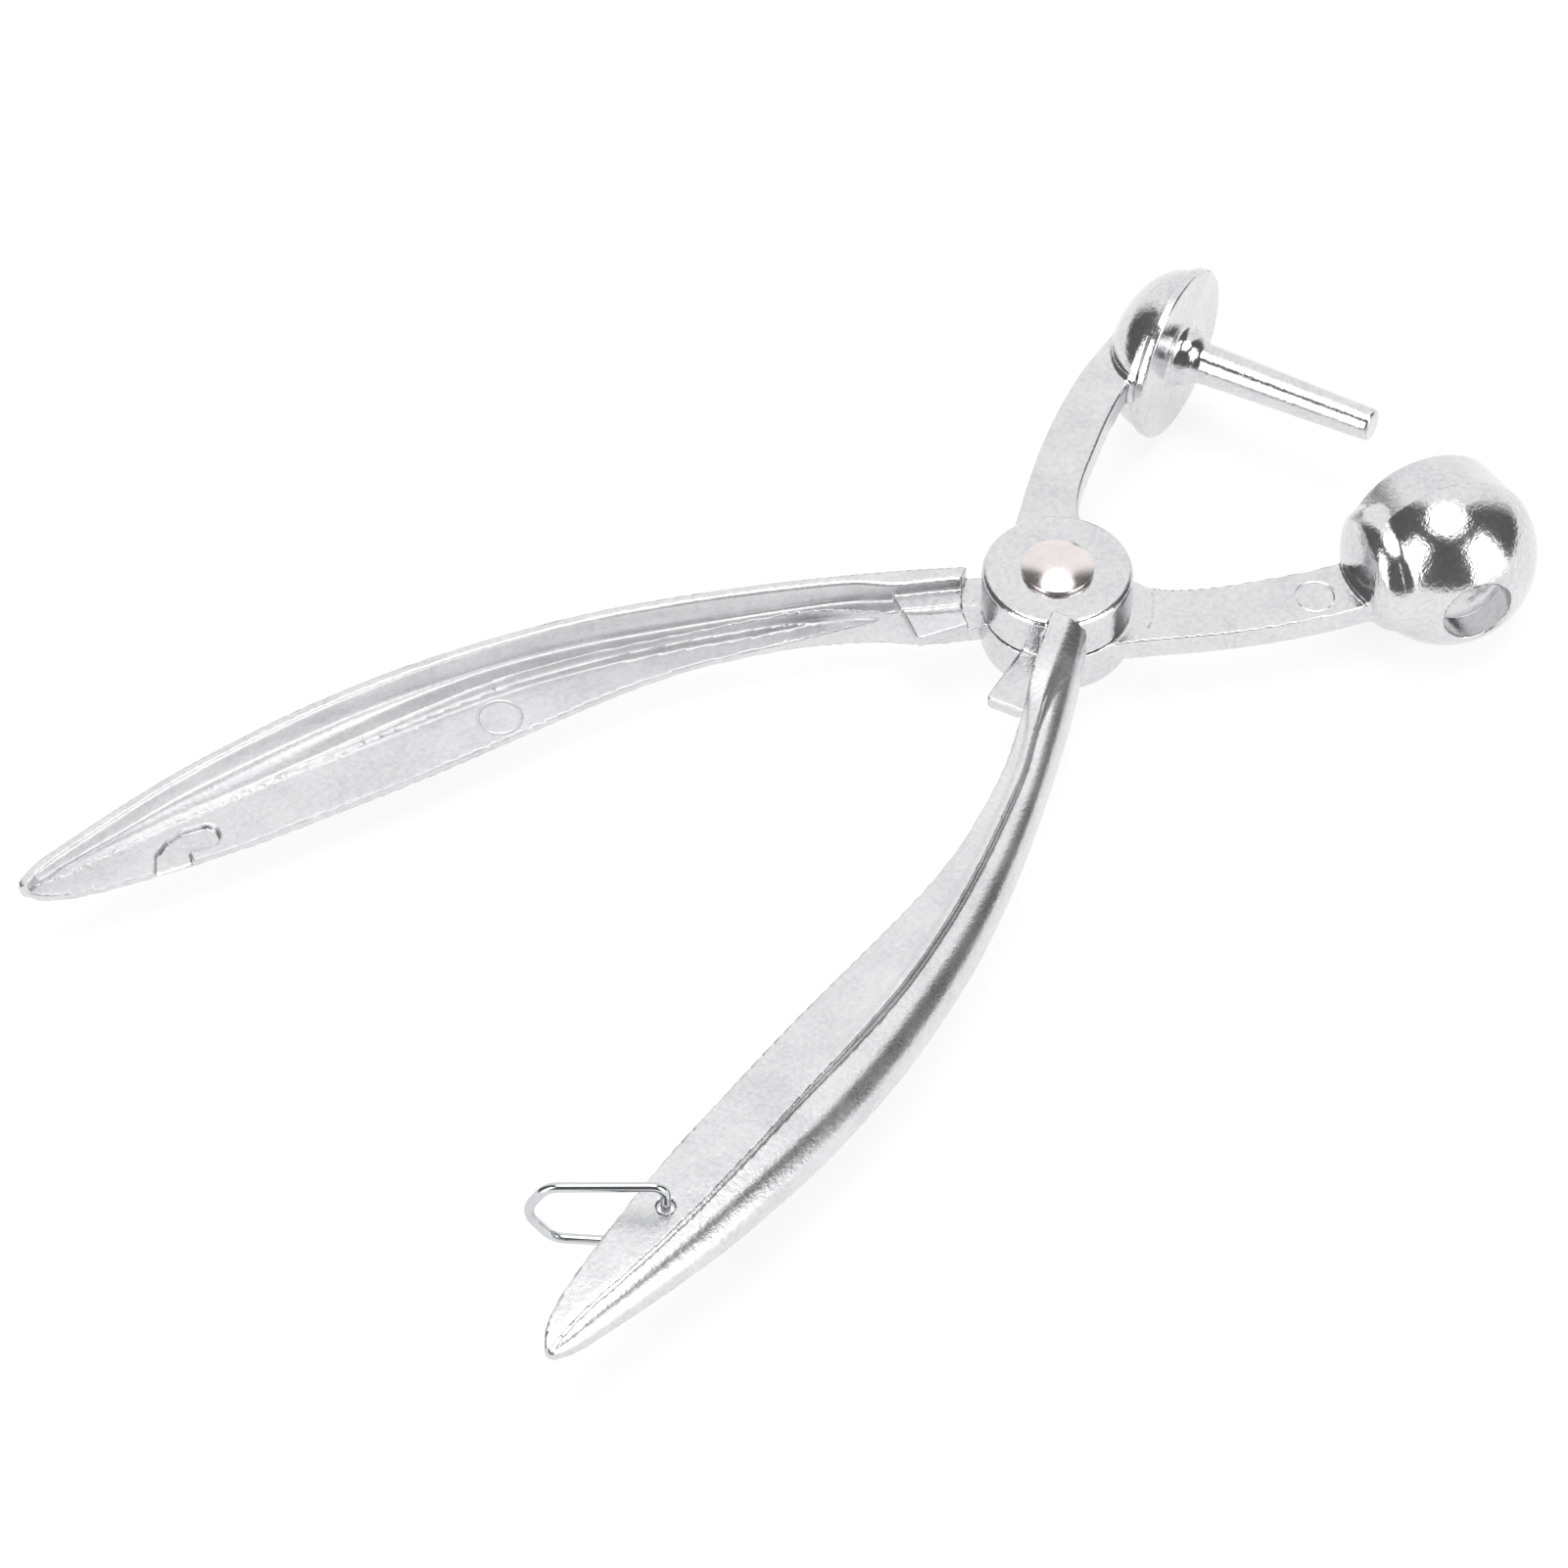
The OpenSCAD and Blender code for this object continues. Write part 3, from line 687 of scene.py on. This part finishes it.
BAIL_WIRE, BAIL_RISE, BAIL_ANGLE, BAIL_REACH = 1.1, 2.5, 66.0, 14.8


def bail_line():
    """The loop of the bail and the direction across it, in the row frame."""
    grip_top = float(at(TOP, handle_s(-HOLE[0])))
    lift = grip_top + BAIL_WIRE / 2 + 0.15 + BAIL_RISE
    drop = -grip_top - BAIL_WIRE / 2 - 0.1 + BAIL_RISE
    corners = [(0, grip_top - FLANGE - 1.4, 1.2), (0, lift, 1.3),
               (BAIL_REACH - 2.4, lift - 1, 2.6), (BAIL_REACH, BAIL_RISE - 0.4, 3),
               (BAIL_REACH - 3, drop + 0.1, 2.4), (6.4, drop, 2.5)]
    line = even(bent_loop(corners, 12), 0.22, True)
    line = line @ rot_z(180 - BAIL_ANGLE).T + np.array([-HOLE[0], -HOLE[1], 0])
    line = line @ rot_z(OPEN / 2).T + np.array([0, 0, HUB_H])
    return line, rot_z(OPEN / 2) @ rot_z(180 - BAIL_ANGLE) @ np.array([0, 1.0, 0])


bail_loop, bail_across = bail_line()
bail_piece = tube("bail_wire", bail_loop, BAIL_WIRE, 24, True, bail_across)

SPRING_WIRE, SPRING_R, SPRING_TURNS, SPRING_PITCH, SPRING_LEG = 0.9, 4.3, 3, 1.45, 5.6
SWEEP = 360 * SPRING_TURNS - OPEN
RISE = SWEEP / 360 * SPRING_PITCH


def spring_line():
    """The spring's wire: leg, coil and leg, each leg towards the lever that it pushes."""
    half = math.radians(OPEN / 2)
    c, s = math.cos(half), math.sin(half)
    start, middle = 0.3, SPRING_LEG / 2
    low = [[SPRING_R * c + u * s, -SPRING_R * s + u * c, -RISE / 2]
           for u in (SPRING_LEG, middle, start)]
    n = 240
    a = -half - np.radians(SWEEP) * np.arange(n + 1) / n
    coil = np.stack([SPRING_R * np.cos(a), SPRING_R * np.sin(a),
                     RISE * (np.arange(n + 1) / n - 0.5)], 1)
    high = [[SPRING_R * c + u * s, SPRING_R * s - u * c, RISE / 2]
            for u in (start, middle, SPRING_LEG)]
    return np.vstack([low, coil, high]) + np.array([0, 0, HUB_H])


spring_piece = tube("spring_coil", even(spring_line(), 0.3, False), SPRING_WIRE, 16, False)


def turned(name, profile, sides=96):
    """Piece turned about Z from a profile of (radius, height, normal angle in degrees)."""
    p = np.array(profile, float)
    a = np.arange(sides) * 2 * math.pi / sides
    points, normals, faces = [], [], []
    for r, z, tilt in p:
        nr, nz = math.cos(math.radians(tilt)), math.sin(math.radians(tilt))
        points.append(np.stack([r * np.cos(a), r * np.sin(a), np.full(sides, z)], 1))
        normals.append(np.stack([nr * np.cos(a), nr * np.sin(a), np.full(sides, nz)], 1))
    n = len(p)
    k = np.arange(sides)
    m = (k + 1) % sides
    for i in range(n - 1):
        faces.append(np.stack([i * sides + k, i * sides + m, (i + 1) * sides + m,
                               (i + 1) * sides + k], 1))
    return make_mesh(name, np.vstack(points), np.vstack(faces), np.vstack(normals))


def rivet_profile():
    """Profile from the foot's middle to the top of the dome."""
    head_r, cap_h, rim_h, shank, z0 = 4.0, 1.05, 0.5, 2.5, 2 * HUB_H + 0.05
    cap_r = (head_r**2 + cap_h**2) / (2 * cap_h)
    cap_a = math.asin(head_r / cap_r)
    out = [(0.02, 0, -90), (1.2, 0, -90), (2.4, 0, -90), (3.5, 0, -90), (3.66, 0.03, -50),
           (3.7, 0.1, -20)]
    out += [(3.62, 0.16, 45), (3.0, 0.7, 45), (2.56, 1.15, 40), (shank, 1.3, 0)]
    out += [(shank, z, 0) for z in np.linspace(2, z0 - 0.06, 6)]
    out += [(shank + 0.06, z0, -70), (shank + 0.4, z0 + 0.01, -90),
            (head_r - 0.15, z0 + 0.01, -90), (head_r - 0.03, z0 + 0.05, -45),
            (head_r, z0 + 0.14, 0), (head_r, z0 + rim_h - 0.12, 0)]
    steps = 14
    for i in range(steps + 1):
        a = cap_a * (1 - i / steps) * 0.985
        z = z0 + rim_h + cap_r * math.cos(a) - cap_r * math.cos(cap_a)
        out.append((max(cap_r * math.sin(a), 0.02), z, 90 - math.degrees(a)))
    return out


rivet_piece = turned("rivet_domed", rivet_profile())


# ---------------------------------------------------------------- materials

# Heights of the surface's grain in millimetres.
CAST_GRAIN, PART_GRAIN, WIRE_GRAIN = 0.034, 0.004, 0.003


class Nodes:
    """Short way to write node trees."""

    def __init__(self, tree):
        self.tree = tree

    def add(self, kind, links=None, **settings):
        node = self.tree.nodes.new(kind)
        for key, value in settings.items():
            setattr(node, key, value)
        for key, value in (links or {}).items():
            socket = node.inputs[key]
            if isinstance(value, bpy.types.NodeSocket):
                self.tree.links.new(value, socket)
            else:
                socket.default_value = value
        return node

    def math(self, op, a, b=0.0):
        return self.add("ShaderNodeMath", {0: a, 1: b}, operation=op).outputs[0]

    def noise(self, at_point, scale, detail=2.0, rough=0.5):
        node = self.add("ShaderNodeTexNoise", {"Vector": at_point, "Scale": scale,
                                               "Detail": detail, "Roughness": rough})
        return node.outputs["Fac"]

    def spread(self, value, lo, hi, a, b):
        node = self.add("ShaderNodeMapRange", {"Value": value, "From Min": lo, "From Max": hi,
                                               "To Min": a, "To Max": b})
        return node.outputs["Result"]

    def ramp(self, value, stops):
        node = self.add("ShaderNodeValToRGB", {"Fac": value})
        ramp = node.color_ramp
        while len(ramp.elements) < len(stops):
            ramp.elements.new(0.5)
        for e, (pos, col) in zip(ramp.elements, stops):
            e.position = pos
            e.color = (*col, 1)
        return node.outputs["Color"]


def new_metal(name):
    mat = bpy.data.materials.new(name)
    mat.use_nodes = True
    tree = mat.node_tree
    tree.nodes.clear()
    n = Nodes(tree)
    shader = n.add("ShaderNodeBsdfPrincipled", {"Metallic": 1.0})
    out = n.add("ShaderNodeOutputMaterial")
    tree.links.new(shader.outputs[0], out.inputs[0])
    place = n.add("ShaderNodeTexCoord").outputs["Object"]
    mm = n.add("ShaderNodeVectorMath", {0: place, 1: (1000, 1000, 1000)}, operation="MULTIPLY")
    return mat, n, shader, mm.outputs[0]


def cast_metal(name, marks):
    """Satin cast metal; marks are the (x, y, radius) of the circles that ejector pins leave."""
    mat, n, shader, mm = new_metal(name)
    grain = n.noise(mm, 1.7, 2.0, 0.6)
    fine = n.noise(mm, 4.5, 1.0, 0.5)
    patch = n.noise(mm, 0.16, 3.0, 0.55)
    tone = n.math("ADD", n.math("MULTIPLY", grain, 0.55), n.math("MULTIPLY", patch, 0.45))
    colour = n.ramp(tone, [(0.30, (0.60, 0.60, 0.615)), (0.5, (0.71, 0.71, 0.72)),
                           (0.72, (0.80, 0.80, 0.81))])
    n.tree.links.new(colour, shader.inputs["Base Color"])
    shine = n.add("ShaderNodeAttribute", attribute_name="finish").outputs["Fac"]
    rough = n.math("ADD", n.spread(patch, 0.3, 0.7, 0.38, 0.44),
                   n.spread(fine, 0.3, 0.7, -0.02, 0.04))
    rough = n.math("SUBTRACT", rough, n.math("MULTIPLY", shine, 0.28))
    n.tree.links.new(rough, shader.inputs["Roughness"])
    stretched = n.add("ShaderNodeMapping", {"Vector": mm, "Rotation": (0, 0, math.radians(35)),
                                            "Scale": (0.5, 7.0, 1.0)})
    hair = n.noise(stretched.outputs[0], 1.0, 2.0, 0.6)
    height = grain
    for texture, share in ((fine, 0.35), (hair, 0.25), (patch, 1.4)):
        height = n.math("ADD", height, n.math("MULTIPLY", texture, share))
    flat = n.add("ShaderNodeVectorMath", {0: mm, 1: (1, 1, 0)}, operation="MULTIPLY")
    for x, y, r in marks:
        away = n.add("ShaderNodeVectorMath", {0: flat.outputs[0], 1: (x, y, 0)},
                     operation="DISTANCE")
        off = n.math("ABSOLUTE", n.math("SUBTRACT", away.outputs["Value"], r))
        height = n.math("SUBTRACT", height, n.spread(off, 0.05, 0.2, 1.6, 0.0))
    bump = n.add("ShaderNodeBump", {"Height": height, "Strength": 1.0,
                                    "Distance": CAST_GRAIN * MM})
    n.tree.links.new(bump.outputs[0], shader.inputs["Normal"])
    return mat


def bright_metal(name, colour, rough, grain_height):
    """Plated or polished metal with a faint grain and slightly darker patches."""
    mat, n, shader, mm = new_metal(name)
    grain = n.noise(mm, 4.0, 3.0, 0.6)
    patch = n.noise(mm, 0.5, 2.0, 0.5)
    darker = tuple(0.88 * c for c in colour)
    mix = n.math("ADD", n.math("MULTIPLY", grain, 0.5), n.math("MULTIPLY", patch, 0.5))
    shade = n.ramp(mix, [(0.32, darker), (0.62, colour)])
    n.tree.links.new(shade, shader.inputs["Base Color"])
    n.tree.links.new(n.spread(grain, 0.3, 0.7, rough * 0.8, rough * 1.3),
                     shader.inputs["Roughness"])
    bump = n.add("ShaderNodeBump", {"Height": grain, "Strength": 1.0,
                                    "Distance": grain_height * MM})
    n.tree.links.new(bump.outputs[0], shader.inputs["Normal"])
    return mat


def on_cup_lever(x, y, r):
    """A circle on the blank, where the cup lever has it in the row frame."""
    place = rot_z(-OPEN / 2) @ np.array([x, -y, 0])
    return place[0], place[1], r


punch_metal = cast_metal("cast_aluminium_punch", [])
cup_metal = cast_metal("cast_aluminium_cup", [on_cup_lever(-61.9, -8.4, 2.4),
                                              on_cup_lever(27, 9, 2.2)])
rivet_metal = bright_metal("rivet_polished", (0.86, 0.80, 0.785), 0.18, PART_GRAIN)
spring_metal = bright_metal("spring_drawn", (0.55, 0.56, 0.58), 0.3, PART_GRAIN)
wire_metal = bright_metal("wire_plated", (0.66, 0.67, 0.69), 0.12, WIRE_GRAIN)

for piece, body, node, slot, mat in (
        (punch_piece, "punch_side", "plunger_lever", "cast_aluminium", punch_metal),
        (cup_piece, "cup_side", "cup_lever", "cast_aluminium_cup", cup_metal),
        (rivet_piece, "cup_side", "pivot_rivet", "polished_rivet", rivet_metal),
        (spring_piece, "cup_side", "torsion_spring", "spring_steel", spring_metal),
        (bail_piece, "bail", "latch_bail", "bright_wire", wire_metal)):
    piece.data.materials.clear()
    piece.data.materials.append(mat)
    if piece is spring_piece:
        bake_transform(piece)
    else:
        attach(piece, body)
    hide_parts(node)


# ---------------------------------------------------------------- studio

# Light of the tent's parts: the dim front and sides, the back, overhead, the soft boxes.
DIM_LIGHT, BACK_LIGHT, OVERHEAD_LIGHT, BOX_LIGHT = 0.13, 1.03, 3.0, 2.3
# Middle and half width in degrees, seen from above: the front, and the boxes at its sides.
FRONT, LEFT_BOX, RIGHT_BOX = (-3, 131), (-51.5, 17.5), (55.5, 22.5)
BOX_HEIGHT = (20, 30)
# Elevations between which the light overhead comes in.
OVERHEAD = (65, 71)
SOFT = 2.5

VIEW_AZ, VIEW_EL = -41.4, 48.5


def studio_world():
    """Tent: white behind and overhead, dim in front and beside, with two standing soft boxes."""
    world = bpy.data.worlds.new("studio")
    bpy.context.scene.world = world
    world.use_nodes = True
    world.node_tree.nodes.clear()
    n = Nodes(world.node_tree)
    way = n.add("ShaderNodeTexCoord").outputs["Generated"]
    a = math.radians(VIEW_AZ)

    def along(d):
        dot = n.add("ShaderNodeVectorMath", {0: way, 1: d}, operation="DOT_PRODUCT")
        return dot.outputs["Value"]

    def within(value, middle, half, edge):
        """1 where a value lies within half of the middle, in degrees, with a soft edge."""
        off = n.math("ABSOLUTE", n.math("SUBTRACT", value, math.radians(middle)))
        return n.spread(off, math.radians(half - edge), math.radians(half + edge), 1.0, 0.0)

    toward_camera = along((math.sin(a), -math.cos(a), 0))
    to_right = along((math.cos(a), math.sin(a), 0))
    azimuth = n.math("ARCTAN2", to_right, toward_camera)
    elevation = n.math("ARCSINE", along((0, 0, 1)))
    back = n.math("SUBTRACT", 1.0, within(azimuth, *FRONT, 8))
    overhead = n.spread(elevation, *np.radians(OVERHEAD), 0.0, 1.0)
    left_box, right_box = (n.math("MULTIPLY", within(azimuth, *box, SOFT),
                                  within(elevation, *BOX_HEIGHT, SOFT))
                           for box in (LEFT_BOX, RIGHT_BOX))
    light = n.math("ADD", DIM_LIGHT, n.math("MULTIPLY", back, BACK_LIGHT - DIM_LIGHT))
    light = n.math("MAXIMUM", light, n.math("MULTIPLY", overhead, OVERHEAD_LIGHT))
    boxes = n.math("MULTIPLY", n.math("MAXIMUM", left_box, right_box), BOX_LIGHT)
    background = n.add("ShaderNodeBackground", {"Strength": n.math("MAXIMUM", light, boxes)})
    background.inputs["Color"].default_value = (1, 1, 1, 1)
    out = n.add("ShaderNodeOutputWorld")
    n.tree.links.new(background.outputs[0], out.inputs[0])


def place_camera():
    """Camera that puts the pivot where the photograph has it, and at its scale there."""
    px, py, size = 1078.8, 616.0, 1601
    px_per_mm, lens_px, sensor = 9.3, 10000, 36
    az, el = math.radians(-VIEW_AZ), math.radians(VIEW_EL)
    right = np.array([math.cos(az), -math.sin(az), 0])
    ahead = np.array([math.sin(az) * math.cos(el), math.cos(az) * math.cos(el), -math.sin(el)])
    above = np.cross(right, ahead)
    off_x, off_y = (px - size / 2) / px_per_mm, (size / 2 - py) / px_per_mm
    pivot = np.array([0, 0, HUB_H])
    at_point = pivot - right * off_x - above * off_y - ahead * lens_px / px_per_mm
    data = bpy.data.cameras.new("camera")
    data.sensor_width = sensor
    data.lens = sensor * lens_px / size
    data.clip_start, data.clip_end = 0.05, 20
    cam = bpy.data.objects.new("camera", data)
    m = Matrix.Identity(4)
    for k in range(3):
        m[k][0], m[k][1], m[k][2], m[k][3] = right[k], above[k], -ahead[k], at_point[k] * MM
    cam.matrix_world = m
    bpy.context.scene.collection.objects.link(cam)
    bpy.context.scene.camera = cam


def floor():
    """White paper that glows a little, so that it stays white close to the piece."""
    lo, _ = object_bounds()
    z, r = lo.z / MM - 0.05, 1500
    piece = make_mesh("floor", [(-r, -r, z), (r, -r, z), (r, r, z), (-r, r, z)],
                      [(0, 1, 2, 3)])
    mat = bpy.data.materials.new("paper_white")
    mat.use_nodes = True
    n = Nodes(mat.node_tree)
    shader = mat.node_tree.nodes["Principled BSDF"]
    place = n.add("ShaderNodeTexCoord").outputs["Object"]
    shade = n.ramp(n.noise(place, 60.0, 3.0), [(0.3, (0.29, 0.29, 0.29)),
                                               (0.7, (0.31, 0.31, 0.31))])
    mat.node_tree.links.new(shade, shader.inputs["Base Color"])
    shader.inputs["Roughness"].default_value = 0.9
    shader.inputs["Specular IOR Level"].default_value = 0.1
    shader.inputs["Emission Color"].default_value = (1, 1, 1, 1)
    shader.inputs["Emission Strength"].default_value = 0.76
    piece.data.materials.append(mat)
    piece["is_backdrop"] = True


place_camera()
studio_world()
floor()
scene = bpy.context.scene
scene.view_settings.view_transform = "Standard"
scene.view_settings.look = "None"
scene.view_settings.exposure = 0.0
